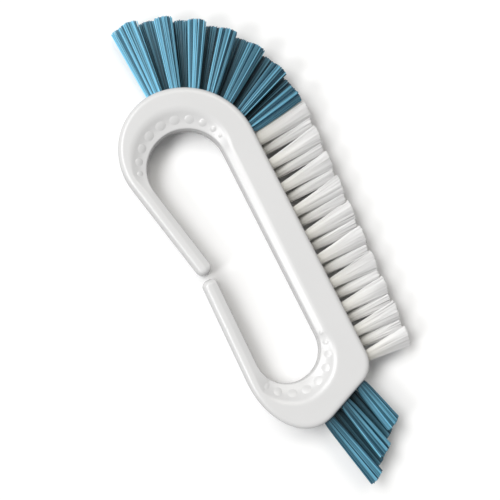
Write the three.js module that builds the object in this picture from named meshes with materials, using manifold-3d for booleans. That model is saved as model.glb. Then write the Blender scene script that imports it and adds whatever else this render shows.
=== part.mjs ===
// A denture brush: one moulded handle, an open loop lying flat, with bristles round its outer rim.
// Millimetres, +Z up. The origin is under the middle of the straight spine, +Y runs along the spine
// towards the fan of long bristles and +X points out through the side bristles.

import * as THREE from 'three';
import { mergeVertices } from 'three/addons/utils/BufferGeometryUtils.js';
import Module from 'manifold-3d';

const wasm = await Module();
wasm.setup();

// Handle: the loop's plan
const SPINE_WIDTH = 11;
const SLOT_LENGTH = 84.7;
const SLOT_MIDDLE_Y = 7.75;
const SLOT_TOP_RADIUS = 12.2;
const SLOT_END_RADIUS = 10.1;
const UPPER_ARM_WIDTH = 4.7;
const UPPER_ARM_LEAN = 11;
const LOWER_ARM_LENGTH = 29.3;
const LOWER_ARM_LEAN = 1;
const LOWER_ARM_ROOT_WIDTH = 4.7;
const LOWER_ARM_TIP_WIDTH = 4.4;
const LOWER_TIP_ROUND = 1.7;
const MOUTH_GAP = 1.75;
const CROWN_RISE = 1.7;
const CROWN_BLEND_ANGLE = 82;
const END_WALL = 13.3;
const END_SLOPE = 22;
const CORNER_RADIUS = 8;
const HEEL_START = 3.7;
const HEEL_REACH = 5.3;
const HEEL_PULL_ARM = 13.5;
const HEEL_PULL_END = 11.5;

// Handle: the loop's section
const THICKNESS = 12;
const RIM_FILLET = 1.7;
const BEVEL_WIDTH = 2.6;
const BEVEL_DEPTH = 1.3;
const DISH_WIDTH = 6;
const DISH_DEPTH = 2.4;
const LEAST_FLAT = 0.3;

// Grip dots: domes in the two thumb dishes, on both faces, the largest in the middle of each row
const DOT_RADIUS = 1.8;
const DOT_FADE = 6.3;
const DOT_HEIGHT = 0.35;
const DOT_SEAT = 0.1;
const DOT_GAP = 1.2;
const DOTS_EACH_WAY = 5;

// Tufts: two staggered rows round the rim, each tuft folded over a flat metal anchor in a blind hole
const HOLE_DIAMETER = 3.6;
const HOLE_DEPTH = 5;
const ROW_SPACING = 4.6;
const CLEARANCE = 0.3;
const SLICE_THICKNESS = 1;
const SLICE_EDGE = 0.25;
const SLICE_OVERRUN = 0.15;
const FOLD_THICKNESS = 0.8;
const ANCHOR_LENGTH = 4.2;
const ANCHOR_WIDTH = 1.6;
const ANCHOR_THICKNESS = 0.4;

// Strands: the few that stand for each tuft's filaments
const STRANDS_PER_TUFT = 10;
const STRAND_RADIUS = 0.24;
const STRAND_SEAT = 0.5;
const TIP_CROWN = 0.8;

// Fan field: tufts that radiate from a focus inside the top arch, the first lower one nearer its neighbour
const FAN_COUNT = 7;
const FAN_FOCUS_RIGHT = 0.4;
const FAN_FOCUS_DROP = 1.2;
const FAN_FIRST_ANGLE = 86;
const FAN_LAST_ANGLE = 10.4;
const FAN_STAGGER = 5.8;
const FAN_LEAD = 3.4;
const FAN_FIRST_LENGTH = 23.3;
const FAN_LAST_LENGTH = 17.7;
const FAN_TIP_RADIUS = 2.4;

// Side field: tufts along the straight spine, the lower row at a longer pitch and trimmed shorter
const SIDE_COUNT = 10;
const SIDE_FIRST_INSET = 3.6;
const SIDE_LAST_INSET = -1.3;
const SIDE_STAGGER = 3.1;
const SIDE_CREEP = 0.085;
const SIDE_TRIM = 0.6;
const SIDE_FIRST_TILT = 6.5;
const SIDE_LAST_TILT = -0.5;
const SIDE_FIRST_LENGTH = 18.4;
const SIDE_LAST_LENGTH = 14.3;
const SIDE_TIP_RADIUS = 2.2;

// End field: tufts on the sloping end
const END_COUNT = 3;
const END_FIRST_INSET = 0.9;
const END_PITCH = 7.15;
const END_LEAN = 9;
const END_FIRST_LENGTH = 16;
const END_LAST_LENGTH = 23;
const END_TIP_RADIUS = 2.2;

// Steps of the faceted surfaces
const ARC_STEPS = 30;
const SPINE_STEPS = 3;
const ARM_STEPS = 2;
const TIP_STEPS = 5;
const FILLET_STEPS = 2;
const CURVE_DIVISIONS = 14;
const HOLE_SIDES = 8;
const ROOT_SIDES = 6;
const DOT_SIDES = 6;
const DOT_RINGS = 4;
const STRAND_SIDES = 3;

// Points nearer than this are one point
const SNAP = 1e-4;

const radians = THREE.MathUtils.degToRad;
const lerp = THREE.MathUtils.lerp;
const polar = (degrees) => new THREE.Vector2(Math.cos(radians(degrees)), Math.sin(radians(degrees)));
const along = (point, direction, distance) => point.clone().addScaledVector(direction, distance);

// Closed three.js geometry to a solid, and a solid back to geometry

function solid(geometry) {
  geometry.deleteAttribute('normal');
  geometry.deleteAttribute('uv');
  const merged = mergeVertices(geometry, SNAP);
  const vertProperties = new Float32Array(merged.attributes.position.array);
  const triVerts = new Uint32Array(merged.index.array);
  return new wasm.Manifold(new wasm.Mesh({ numProp: 3, vertProperties, triVerts }));
}

function toGeometry(manifold) {
  const { vertProperties, triVerts } = manifold.getMesh();
  const geometry = new THREE.BufferGeometry();
  geometry.setAttribute('position', new THREE.BufferAttribute(new Float32Array(vertProperties), 3));
  geometry.setIndex(new THREE.BufferAttribute(new Uint32Array(triVerts), 1));
  geometry.computeVertexNormals();
  return geometry;
}

const join = (solids) => solids.reduce((whole, piece) => whole.add(piece));

// Plan of the loop: slot edge inside, rim outside

const SLOT_EDGE = -SPINE_WIDTH / 2;
const RIM_EDGE = SPINE_WIDTH / 2;
const slotTop = SLOT_MIDDLE_Y + SLOT_LENGTH / 2;
const slotBottom = SLOT_MIDDLE_Y - SLOT_LENGTH / 2;
const topCentre = new THREE.Vector2(SLOT_EDGE - SLOT_TOP_RADIUS, slotTop - SLOT_TOP_RADIUS);
const endCentre = new THREE.Vector2(SLOT_EDGE - SLOT_END_RADIUS, slotBottom + SLOT_END_RADIUS);
const upperAngle = 180 + UPPER_ARM_LEAN;
const lowerAngle = 180 - LOWER_ARM_LEAN;
const upperNormal = polar(upperAngle);
const lowerNormal = polar(lowerAngle);
const towardsUpperTip = polar(upperAngle + 90);
const towardsLowerTip = polar(lowerAngle - 90);
const upperRoot = along(topCentre, upperNormal, SLOT_TOP_RADIUS);
const lowerRoot = along(endCentre, lowerNormal, SLOT_END_RADIUS);

// The upper arm's round tip stops the mouth's gap short of the lower arm's tip
const upperTipRound = UPPER_ARM_WIDTH / 2;
const lowerTip = along(lowerRoot, towardsLowerTip, LOWER_ARM_LENGTH);
const lowerTipTop = along(lowerTip, lowerNormal, LOWER_ARM_TIP_WIDTH / 2).y;
const upperTipY = lowerTipTop + MOUTH_GAP + upperTipRound;
const upperCentreRoot = along(upperRoot, upperNormal, upperTipRound);
const upperArmLength = (upperTipY - upperCentreRoot.y) / towardsUpperTip.y + upperTipRound;

// The rim's crown has two arcs: one rising from the spine, and a smaller one that meets the upper arm
const crownRadius = SLOT_TOP_RADIUS + SPINE_WIDTH;
const crownCentre = new THREE.Vector2(topCentre.x, topCentre.y + CROWN_RISE);
const blend = polar(CROWN_BLEND_ANGLE);
const armReach = SLOT_TOP_RADIUS + UPPER_ARM_WIDTH;
const crownShift = crownCentre.clone().sub(topCentre).addScaledVector(blend, crownRadius);
const shoulderRadius = (armReach - crownShift.dot(upperNormal)) / (1 - blend.dot(upperNormal));
const shoulderCentre = along(crownCentre, blend, crownRadius - shoulderRadius);

// The sloping end, its corner with the spine, and the heel curve up to the lower arm
const endAngle = END_SLOPE - 90;
const endNormal = polar(endAngle);
const alongEnd = polar(END_SLOPE);
const endFoot = along(endCentre, endNormal, SLOT_END_RADIUS + END_WALL);
const cornerPoint = along(endFoot, alongEnd, (RIM_EDGE - endFoot.x) / alongEnd.x);
const cornerReach = CORNER_RADIUS * Math.tan(radians((90 - END_SLOPE) / 2));
const cornerCentre = new THREE.Vector2(RIM_EDGE - CORNER_RADIUS, cornerPoint.y + cornerReach);
const heelEnd = along(endFoot, alongEnd, -HEEL_REACH);
const lowerRootOuter = along(lowerRoot, lowerNormal, LOWER_ARM_ROOT_WIDTH);
const lowerTipOuter = along(lowerTip, lowerNormal, LOWER_ARM_TIP_WIDTH);
const upLowerArm = lowerTipOuter.clone().sub(lowerRootOuter).normalize();
const heelStart = along(lowerRootOuter, upLowerArm, -HEEL_START);

function rimPath() {
  const path = new THREE.Path();
  const start = along(along(upperRoot, upperNormal, UPPER_ARM_WIDTH), towardsUpperTip, upperArmLength);
  const armEnd = along(shoulderCentre, upperNormal, shoulderRadius);
  path.moveTo(start.x, start.y);
  path.lineTo(armEnd.x, armEnd.y);
  path.absarc(
    shoulderCentre.x, shoulderCentre.y, shoulderRadius,
    radians(upperAngle), radians(CROWN_BLEND_ANGLE), true,
  );
  path.absarc(crownCentre.x, crownCentre.y, crownRadius, radians(CROWN_BLEND_ANGLE), 0, true);
  path.absarc(cornerCentre.x, cornerCentre.y, CORNER_RADIUS, 0, radians(endAngle), true);
  path.lineTo(heelEnd.x, heelEnd.y);
  const pullEnd = along(heelEnd, alongEnd, -HEEL_PULL_END);
  const pullArm = along(heelStart, upLowerArm, -HEEL_PULL_ARM);
  path.bezierCurveTo(pullEnd.x, pullEnd.y, pullArm.x, pullArm.y, heelStart.x, heelStart.y);
  path.lineTo(lowerTipOuter.x, lowerTipOuter.y);
  return path;
}

// The rim as a run of points, each with its distance along the rim and its outward normal

function measuredRim() {
  const rim = [];
  let length = 0;
  for (const point of rimPath().getPoints(CURVE_DIVISIONS)) {
    const last = rim.at(-1);
    const step = last ? last.point.distanceTo(point) : 0;
    if (last && step < SNAP) continue;
    length += step;
    rim.push({ point, length });
  }
  rim.forEach((sample, i) => {
    const before = rim[Math.max(i - 1, 0)].point;
    const after = rim[Math.min(i + 1, rim.length - 1)].point;
    const edge = after.clone().sub(before).normalize();
    sample.outwards = new THREE.Vector2(-edge.y, edge.x);
  });
  return rim;
}

const rim = measuredRim();

// Where a ray first leaves through the rim: the point, and its distance along the rim

function rimHit(origin, direction) {
  let best = { reach: Infinity };
  for (let i = 1; i < rim.length; i += 1) {
    const from = rim[i - 1];
    const edge = rim[i].point.clone().sub(from.point);
    const gap = from.point.clone().sub(origin);
    const facing = direction.cross(edge);
    if (Math.abs(facing) < SNAP) continue;
    const reach = gap.cross(edge) / facing;
    const share = gap.cross(direction) / facing;
    const inside = share > -SNAP && share < 1 + SNAP;
    if (inside && reach > 0 && reach < best.reach) {
      best = { reach, length: from.length + share * edge.length(), point: along(origin, direction, reach) };
    }
  }
  return best;
}

// A point on the rim at a distance along it, moved outwards by an offset

function rimPoint(length, offset) {
  const next = rim.findIndex((sample, i) => i > 0 && sample.length >= length);
  const last = next < 0 ? rim.length - 1 : next;
  const from = rim[last - 1];
  const to = rim[last];
  const share = (length - from.length) / (to.length - from.length);
  const outwards = from.outwards.clone().lerp(to.outwards, share).normalize();
  return along(from.point.clone().lerp(to.point, share), outwards, offset);
}

// Handle: sections set across the loop from the slot edge to the rim

function armStations(root, direction, normal, length, round) {
  const stations = [];
  for (let i = 1; i <= TIP_STEPS; i += 1) {
    const fromTip = round * (1 - Math.cos((i / TIP_STEPS) * Math.PI / 2));
    stations.push({ edge: along(root, direction, length - fromTip), normal, dish: 0, fromTip, round });
  }
  for (let i = 1; i <= ARM_STEPS; i += 1) {
    const fromTip = lerp(round, length, i / (ARM_STEPS + 1));
    stations.push({ edge: along(root, direction, length - fromTip), normal, dish: 0, fromTip, round });
  }
  return stations;
}

function archStations(centre, radius, fromAngle, toAngle) {
  const stations = [];
  for (let i = 0; i <= ARC_STEPS; i += 1) {
    const normal = polar(lerp(fromAngle, toAngle, i / ARC_STEPS));
    const dish = Math.sin((Math.PI * i) / ARC_STEPS);
    stations.push({ edge: along(centre, normal, radius), normal, dish });
  }
  return stations;
}

function spineStations() {
  const stations = [];
  for (let i = 1; i <= SPINE_STEPS; i += 1) {
    const y = lerp(topCentre.y, endCentre.y, i / (SPINE_STEPS + 1));
    stations.push({ edge: new THREE.Vector2(SLOT_EDGE, y), normal: polar(0), dish: 0 });
  }
  return stations;
}

function loopStations() {
  const upperArm = armStations(upperRoot, towardsUpperTip, upperNormal, upperArmLength, upperTipRound);
  const lowerArm = armStations(lowerRoot, towardsLowerTip, lowerNormal, LOWER_ARM_LENGTH, LOWER_TIP_ROUND);
  return [
    ...upperArm,
    ...archStations(topCentre, SLOT_TOP_RADIUS, upperAngle, 0),
    ...spineStations(),
    ...archStations(endCentre, SLOT_END_RADIUS, 0, lowerAngle - 360),
    ...lowerArm.reverse(),
  ];
}

// How far a rounded end has drawn in at a distance from its tip

function drawnIn(radius, fromTip) {
  if (fromTip === undefined || fromTip >= radius) return 0;
  return radius - Math.sqrt(radius ** 2 - (radius - fromTip) ** 2);
}

// One section, from the slot edge to the rim: bevels at the slot, flat faces, fillets at the rim

function section(width, shrink, dish, low, high) {
  const fillet = Math.min(RIM_FILLET * shrink, (high - low) / 2);
  const widest = width - fillet - LEAST_FLAT * shrink;
  const bevel = Math.min(lerp(BEVEL_WIDTH, DISH_WIDTH, dish) * shrink, widest);
  const depth = Math.min(lerp(BEVEL_DEPTH, DISH_DEPTH, dish) * shrink, (high - low) / 3);
  const points = [[0, low + depth], [0, high - depth], [bevel, high]];
  for (let i = 0; i <= FILLET_STEPS; i += 1) {
    const turn = (i / FILLET_STEPS) * Math.PI / 2;
    points.push([width - fillet + fillet * Math.sin(turn), high - fillet + fillet * Math.cos(turn)]);
  }
  for (let i = FILLET_STEPS; i >= 0; i -= 1) {
    const turn = (i / FILLET_STEPS) * Math.PI / 2;
    points.push([width - fillet + fillet * Math.sin(turn), low + fillet - fillet * Math.cos(turn)]);
  }
  points.push([bevel, low]);
  return points;
}

function loopGeometry() {
  const rings = loopStations().map(({ edge, normal, dish, fromTip, round }) => {
    const full = rimHit(along(edge, normal, -CLEARANCE), normal).reach - CLEARANCE;
    const inset = drawnIn(round, fromTip);
    const drop = drawnIn(RIM_FILLET, fromTip);
    const width = full - 2 * inset;
    const points = section(width, width / full, dish, drop, THICKNESS - drop);
    return points.map(([across, z]) => {
      const place = along(edge, normal, inset + across);
      return [place.x, place.y, z];
    });
  });
  const sides = rings[0].length;
  const positions = rings.flat(2);
  const indices = [];
  for (let r = 1; r < rings.length; r += 1) {
    for (let s = 0; s < sides; s += 1) {
      const a = (r - 1) * sides + s;
      const b = (r - 1) * sides + (s + 1) % sides;
      indices.push(a, a + sides, b, b, a + sides, b + sides);
    }
  }
  const lastRing = (rings.length - 1) * sides;
  for (let s = 1; s < sides - 1; s += 1) {
    indices.push(0, s, s + 1);
    indices.push(lastRing, lastRing + s + 1, lastRing + s);
  }
  const geometry = new THREE.BufferGeometry();
  geometry.setAttribute('position', new THREE.Float32BufferAttribute(positions, 3));
  geometry.setIndex(indices);
  return geometry;
}

// Grip dots: flattened domes on the middle of the dish's slope, their widest ring just below it

function dot(centre, slotRadius, degrees, dish, radius, face) {
  const bevel = lerp(BEVEL_WIDTH, DISH_WIDTH, dish);
  const depth = lerp(BEVEL_DEPTH, DISH_DEPTH, dish);
  const place = along(centre, polar(degrees), slotRadius + bevel / 2);
  const slope = Math.atan2(depth, bevel);
  const geometry = new THREE.SphereGeometry(radius, DOT_SIDES, DOT_RINGS);
  geometry.rotateX(Math.PI / 2);
  geometry.scale(1, 1, (DOT_HEIGHT + DOT_SEAT) / radius);
  geometry.translate(0, 0, -face * DOT_SEAT);
  geometry.rotateY(-slope * face);
  geometry.rotateZ(radians(degrees));
  const height = THICKNESS / 2 + face * (THICKNESS - depth) / 2;
  geometry.translate(place.x, place.y, height);
  return solid(geometry);
}

const dotRadius = (i) => DOT_RADIUS * (1 - (i / DOT_FADE) ** 2);

function dotRow(centre, slotRadius, fromAngle, toAngle) {
  const dots = [];
  const middle = (fromAngle + toAngle) / 2;
  const span = Math.abs(toAngle - fromAngle);
  for (const side of [-1, 1]) {
    let turn = 0;
    for (let i = 0; i <= DOTS_EACH_WAY; i += 1) {
      const dish = Math.cos((Math.PI * turn) / radians(span));
      const degrees = middle + side * THREE.MathUtils.radToDeg(turn);
      if (i > 0 || side > 0) {
        for (const face of [-1, 1]) {
          dots.push(dot(centre, slotRadius, degrees, dish, dotRadius(i), face));
        }
      }
      const row = slotRadius + lerp(BEVEL_WIDTH, DISH_WIDTH, dish) / 2;
      turn += (dotRadius(i) + dotRadius(i + 1) + DOT_GAP) / row;
    }
  }
  return dots;
}

// Tufts: where each one leaves the rim, its direction, row and free length

const rowHeight = (row) => THICKNESS / 2 + (row === 'upper' ? 0.5 : -0.5) * ROW_SPACING;

function tuft(hit, degrees, row, free, tipRadius) {
  return { ...hit, degrees, z: rowHeight(row), free, tipRadius };
}

function fanTufts() {
  const focus = new THREE.Vector2(topCentre.x + FAN_FOCUS_RIGHT, topCentre.y - FAN_FOCUS_DROP);
  const pitch = (FAN_FIRST_ANGLE - FAN_LAST_ANGLE) / (FAN_COUNT - 1);
  const tufts = [];
  for (let i = 0; i < FAN_COUNT; i += 1) {
    for (const row of ['lower', 'upper']) {
      const ahead = i > 0 ? FAN_STAGGER : FAN_LEAD;
      const degrees = FAN_FIRST_ANGLE - pitch * i + (row === 'lower' ? ahead : 0);
      const share = (FAN_FIRST_ANGLE - degrees) / (FAN_FIRST_ANGLE - FAN_LAST_ANGLE);
      const length = lerp(FAN_FIRST_LENGTH, FAN_LAST_LENGTH, share);
      tufts.push(tuft(rimHit(focus, polar(degrees)), degrees, row, length, FAN_TIP_RADIUS));
    }
  }
  return tufts;
}

function sideTufts() {
  const first = crownCentre.y - SIDE_FIRST_INSET;
  const last = cornerCentre.y + SIDE_LAST_INSET;
  const pitch = (first - last) / (SIDE_COUNT - 1);
  const tufts = [];
  for (let i = 0; i < 2 * SIDE_COUNT - 1; i += 1) {
    const row = i % 2 ? 'lower' : 'upper';
    const pair = Math.floor(i / 2);
    const distance = pair * pitch + (row === 'lower' ? SIDE_STAGGER + pair * SIDE_CREEP : 0);
    const share = distance / (first - last);
    const hit = rimHit(new THREE.Vector2(0, first - distance), polar(0));
    const degrees = lerp(SIDE_FIRST_TILT, SIDE_LAST_TILT, share);
    const length = lerp(SIDE_FIRST_LENGTH, SIDE_LAST_LENGTH, share) - (row === 'lower' ? SIDE_TRIM : 0);
    tufts.push(tuft(hit, degrees, row, length, SIDE_TIP_RADIUS));
  }
  return tufts;
}

function endTufts() {
  const cornerEnd = rimHit(cornerCentre, endNormal).length;
  const tufts = [];
  for (let i = 0; i < 2 * END_COUNT - 1; i += 1) {
    const row = i % 2 ? 'lower' : 'upper';
    const distance = cornerEnd + END_FIRST_INSET + (i / 2) * END_PITCH;
    const hit = { length: distance, point: rimPoint(distance, 0) };
    const length = lerp(END_FIRST_LENGTH, END_LAST_LENGTH, i / (2 * END_COUNT - 2));
    tufts.push(tuft(hit, endAngle - END_LEAN, row, length, END_TIP_RADIUS));
  }
  return tufts;
}

// Puts a shape made along +X, from the hole's mouth at 0, on a tuft's axis

function onTuft(geometry, { point, degrees, z }) {
  geometry.rotateZ(radians(degrees));
  geometry.translate(point.x, point.y, z);
  return geometry;
}

function rod(radius, from, to, sides) {
  const geometry = new THREE.CylinderGeometry(radius, radius, to - from, sides);
  geometry.rotateZ(-Math.PI / 2);
  geometry.translate((from + to) / 2, 0, 0);
  return geometry;
}

function block(from, to, across, height) {
  const geometry = new THREE.BoxGeometry(to - from, across, height);
  geometry.translate((from + to) / 2, 0, 0);
  return geometry;
}

// Depths below the hole's mouth: the tuft's fold at the bottom, then the anchor lying on it
const foldEnd = -(HOLE_DEPTH - CLEARANCE);
const anchorFrom = foldEnd + FOLD_THICKNESS + CLEARANCE;
const anchorTo = anchorFrom + ANCHOR_WIDTH;
const slotWidth = ANCHOR_THICKNESS + 2 * CLEARANCE;
const slotLength = ANCHOR_LENGTH + 2 * CLEARANCE;
const rootRadius = HOLE_DIAMETER / 2 - CLEARANCE;

// A blind hole with the two grooves that the anchor's ends bite into its wall

function holeCutter(place) {
  const bore = solid(onTuft(rod(HOLE_DIAMETER / 2, -HOLE_DEPTH, HOLE_DIAMETER / 2, HOLE_SIDES), place));
  const groove = block(anchorFrom - CLEARANCE, HOLE_DIAMETER / 2, slotWidth, slotLength);
  return bore.add(solid(onTuft(groove, place)));
}

// A tuft's root: a plug of folded filaments, open across the middle where the anchor passes

function root(place) {
  const plug = solid(onTuft(rod(rootRadius, foldEnd, -STRAND_SEAT, ROOT_SIDES), place));
  const eye = block(anchorFrom - CLEARANCE, anchorTo + CLEARANCE, slotWidth, slotLength);
  return plug.subtract(solid(onTuft(eye, place)));
}

// One strand: a straight prism between two points

function prism(from, to) {
  const axis = to.clone().sub(from).normalize();
  const across = new THREE.Vector3(0, 0, 1).cross(axis).normalize();
  const up = axis.clone().cross(across);
  const positions = [];
  for (const end of [from, to]) {
    for (let i = 0; i < STRAND_SIDES; i += 1) {
      const turn = (2 * Math.PI * i) / STRAND_SIDES;
      const corner = end.clone().addScaledVector(across, STRAND_RADIUS * Math.cos(turn));
      positions.push(...corner.addScaledVector(up, STRAND_RADIUS * Math.sin(turn)));
    }
  }
  const indices = [];
  for (let i = 0; i < STRAND_SIDES; i += 1) {
    const next = (i + 1) % STRAND_SIDES;
    indices.push(i, next, i + STRAND_SIDES, next, next + STRAND_SIDES, i + STRAND_SIDES);
  }
  for (let i = 2; i < STRAND_SIDES; i += 1) {
    indices.push(0, i, i - 1, STRAND_SIDES, STRAND_SIDES + i - 1, STRAND_SIDES + i);
  }
  const geometry = new THREE.BufferGeometry();
  geometry.setAttribute('position', new THREE.Float32BufferAttribute(positions, 3));
  geometry.setIndex(indices);
  return geometry;
}

// A tuft's strands: evenly spread over a disc at the rim, and over a wider one at the tips

const GOLDEN_ANGLE = Math.PI * (3 - Math.sqrt(5));

function strands(place) {
  const spread = HOLE_DIAMETER / 2 - CLEARANCE / 2 - STRAND_RADIUS;
  const made = [];
  for (let i = 0; i < STRANDS_PER_TUFT; i += 1) {
    const ratio = Math.sqrt((i + 0.5) / STRANDS_PER_TUFT);
    const turn = i * GOLDEN_ANGLE;
    const offset = new THREE.Vector3(0, Math.cos(turn), Math.sin(turn)).multiplyScalar(ratio);
    const from = offset.clone().multiplyScalar(spread).setX(-STRAND_SEAT);
    const to = offset.clone().multiplyScalar(place.tipRadius).setX(place.free - TIP_CROWN * ratio ** 2);
    made.push(solid(onTuft(prism(from, to), place)));
  }
  return made;
}

// A band along the rim under one field of tufts, between two offsets from the rim

function rimBand(field, overrun, inner, outer, height) {
  const places = field.map((place) => place.length);
  const from = Math.min(...places) - HOLE_DIAMETER / 2 - overrun;
  const to = Math.max(...places) + HOLE_DIAMETER / 2 + overrun;
  const stops = [from, ...rim.map((sample) => sample.length).filter((s) => s > from && s < to), to];
  const outline = [
    ...stops.map((s) => rimPoint(s, outer)),
    ...stops.map((s) => rimPoint(s, inner)).reverse(),
  ];
  const settings = { depth: height, bevelEnabled: false };
  const geometry = new THREE.ExtrudeGeometry(new THREE.Shape(outline), settings);
  geometry.translate(0, 0, (THICKNESS - height) / 2);
  return solid(geometry);
}

const sliceHeight = ROW_SPACING + HOLE_DIAMETER - CLEARANCE + 2 * SLICE_EDGE - 2 * STRAND_RADIUS;

function slice(field) {
  return rimBand(field, SLICE_OVERRUN, -SLICE_THICKNESS, 0, sliceHeight);
}

function sliceSeat(field) {
  const depth = -(SLICE_THICKNESS + CLEARANCE);
  return rimBand(field, SLICE_OVERRUN + CLEARANCE, depth, SLICE_THICKNESS, sliceHeight + 2 * CLEARANCE);
}

// Pieces

const fields = { fan: fanTufts(), side: sideTufts(), end: endTufts() };
const allTufts = Object.values(fields).flat();

const handleMaterial = new THREE.MeshStandardMaterial({ color: 0xe9e9e6, roughness: 0.42, metalness: 0 });
const bristleMaterials = {
  fan: new THREE.MeshStandardMaterial({ color: 0x4f97bd, roughness: 0.5, metalness: 0 }),
  side: new THREE.MeshStandardMaterial({ color: 0xeeeeea, roughness: 0.55, metalness: 0 }),
  end: new THREE.MeshStandardMaterial({ color: 0x4f97bd, roughness: 0.5, metalness: 0 }),
};
const anchorMaterial = new THREE.MeshStandardMaterial({ color: 0xc9b27a, roughness: 0.35, metalness: 1 });

function named(name, geometry, material) {
  const mesh = new THREE.Mesh(geometry, material);
  mesh.name = name;
  return mesh;
}

function handle() {
  const dots = [
    ...dotRow(topCentre, SLOT_TOP_RADIUS, upperAngle, 0),
    ...dotRow(endCentre, SLOT_END_RADIUS, 0, lowerAngle - 360),
  ];
  const cuts = [...Object.values(fields).map(sliceSeat), ...allTufts.map(holeCutter)];
  return join([solid(loopGeometry()), ...dots]).subtract(join(cuts));
}

function bristles(field) {
  return join([slice(field), ...field.map(root), ...field.flatMap(strands)]);
}

function anchor(place, name) {
  const geometry = block(anchorFrom, anchorTo, ANCHOR_THICKNESS, ANCHOR_LENGTH);
  const mesh = named(name, geometry, anchorMaterial);
  mesh.position.set(place.point.x, place.point.y, place.z);
  mesh.rotation.z = radians(place.degrees);
  return mesh;
}

const brush = new THREE.Group();
brush.add(named('handle', toGeometry(handle()), handleMaterial));
for (const [name, field] of Object.entries(fields)) {
  brush.add(named(`${name}_bristles`, toGeometry(bristles(field)), bristleMaterials[name]));
  field.forEach((place, i) => brush.add(anchor(place, `${name}_anchor_${i + 1}`)));
}

export default brush;
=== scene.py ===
import math
from typing import NamedTuple

import bpy
import numpy as np
from mathutils import Matrix, Vector


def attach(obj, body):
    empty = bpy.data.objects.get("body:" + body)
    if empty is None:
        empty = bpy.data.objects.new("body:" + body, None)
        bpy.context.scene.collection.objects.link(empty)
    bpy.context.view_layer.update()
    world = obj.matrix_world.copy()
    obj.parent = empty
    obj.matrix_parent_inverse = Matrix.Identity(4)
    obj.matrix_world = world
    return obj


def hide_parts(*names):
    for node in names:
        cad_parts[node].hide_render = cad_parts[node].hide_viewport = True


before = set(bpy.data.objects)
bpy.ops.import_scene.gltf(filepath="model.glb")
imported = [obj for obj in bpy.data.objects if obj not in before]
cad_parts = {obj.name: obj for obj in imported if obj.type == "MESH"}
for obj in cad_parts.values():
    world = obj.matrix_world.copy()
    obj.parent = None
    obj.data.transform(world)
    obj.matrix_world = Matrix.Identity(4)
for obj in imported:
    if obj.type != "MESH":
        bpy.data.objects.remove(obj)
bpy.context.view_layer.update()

# A denture brush lying on a pale floor, seen from above. Sizes are in millimetres, in the solids' own
# frame: the origin is under the spine, +Y runs towards the fan and +X out through the side bristles.
METRES = 0.001

# Handle: the loop's plan, as in the solids
SPINE_WIDTH = 11.0
SLOT_LENGTH = 84.7
SLOT_MIDDLE_Y = 7.75
SLOT_TOP_RADIUS = 12.2
SLOT_END_RADIUS = 10.1
UPPER_ARM_WIDTH = 4.7
UPPER_ARM_LEAN = 11.0
LOWER_ARM_LENGTH = 29.3
LOWER_ARM_LEAN = 1.0
LOWER_ARM_ROOT_WIDTH = 4.7
LOWER_ARM_TIP_WIDTH = 4.4
LOWER_TIP_ROUND = 1.7
MOUTH_GAP = 1.75
CROWN_RISE = 1.7
CROWN_BLEND_ANGLE = 82.0
END_WALL = 13.3
END_SLOPE = 22.0
CORNER_RADIUS = 8.0
HEEL_START = 3.7
HEEL_REACH = 5.3
HEEL_PULL_ARM = 13.5
HEEL_PULL_END = 11.5

# Handle: the loop's section
THICKNESS = 12.0
RIM_FILLET = 1.7
RIM_EASE = 1.1 * RIM_FILLET
BEVEL_WIDTH = 2.6
BEVEL_DEPTH = 1.3
DISH_WIDTH = 6.0
DISH_DEPTH = 2.4
DISH_SCOOP = 0.7
LEAST_FLAT = 0.8
SLOT_EASE = 0.5
CREST_EASE = 1.2
SEAM_WIDTH = 0.4
SEAM_HEIGHT = 0.05
SUPPORT = 0.15

# The most that an easing or a support line takes of the bevel or the flat beside it
SLOT_EASE_OF_BEVEL = 0.2
CREST_OF_BEVEL = 0.36
CREST_OF_FLAT = 0.45
SUPPORT_OF_FLAT = 0.2

# Grip dots: the largest in the middle of each row, which runs at a share of the bevel's width
DOT_RADIUS = 1.8
DOT_FADE = 6.3
DOT_GAP = 1.2
DOTS_EACH_WAY = 5
DOT_HEIGHT = 0.27
HEEL_DOT_HEIGHT = 0.16
DOT_DOME_POWER = 0.9
DOT_FOOT = 0.6
DOT_PLACE = 0.5

# Tufts: two staggered rows of blind holes round the rim
HOLE_DIAMETER = 3.6
HOLE_DEPTH = 5.0
HOLE_EASE = 0.25
HOLE_LIP = 0.3 * HOLE_EASE
HOLE_FLARE = 2.5 * HOLE_EASE
HOLE_FLARE_LENGTH = 4 * HOLE_EASE
ROW_SPACING = 4.6
ANCHOR_THICKNESS = 0.4

FAN_COUNT = 7
FAN_FOCUS_RIGHT = 0.4
FAN_FOCUS_DROP = 1.2
FAN_FIRST_ANGLE = 86.0
FAN_LAST_ANGLE = 10.4
FAN_STAGGER = 5.8
FAN_LEAD = 3.4
FAN_FIRST_LENGTH = 23.3
FAN_LAST_LENGTH = 17.7

SIDE_COUNT = 10
SIDE_FIRST_INSET = 3.6
SIDE_LAST_INSET = -1.3
SIDE_STAGGER = 3.1
SIDE_CREEP = 0.085
SIDE_TRIM = 0.6
SIDE_FIRST_TILT = 6.5
SIDE_LAST_TILT = -0.5
SIDE_FIRST_LENGTH = 18.4
SIDE_LAST_LENGTH = 14.3

END_COUNT = 3
END_FIRST_INSET = 0.9
END_PITCH = 7.15
END_LEAN = 9.0
END_FIRST_LENGTH = 16.0
END_LAST_LENGTH = 23.0

# Filaments: how they stand in a tuft
GOLDEN_ANGLE = math.pi * (3 - math.sqrt(5))
ROOT_DEPTH = 4.5
MOUTH_SLACK = 0.08
FILAMENT_BEND = 0.05
FILAMENT_STRAY = 0.08
CLOSING_POWER = 0.4
BULGE_GAIN = 1.6
BULGE_POWER = 0.2
TIP_CROWN = 0.5
TIP_SCATTER = 0.1
TIP_TAPER = 0.55
TIP_ROUND = 0.5

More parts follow.
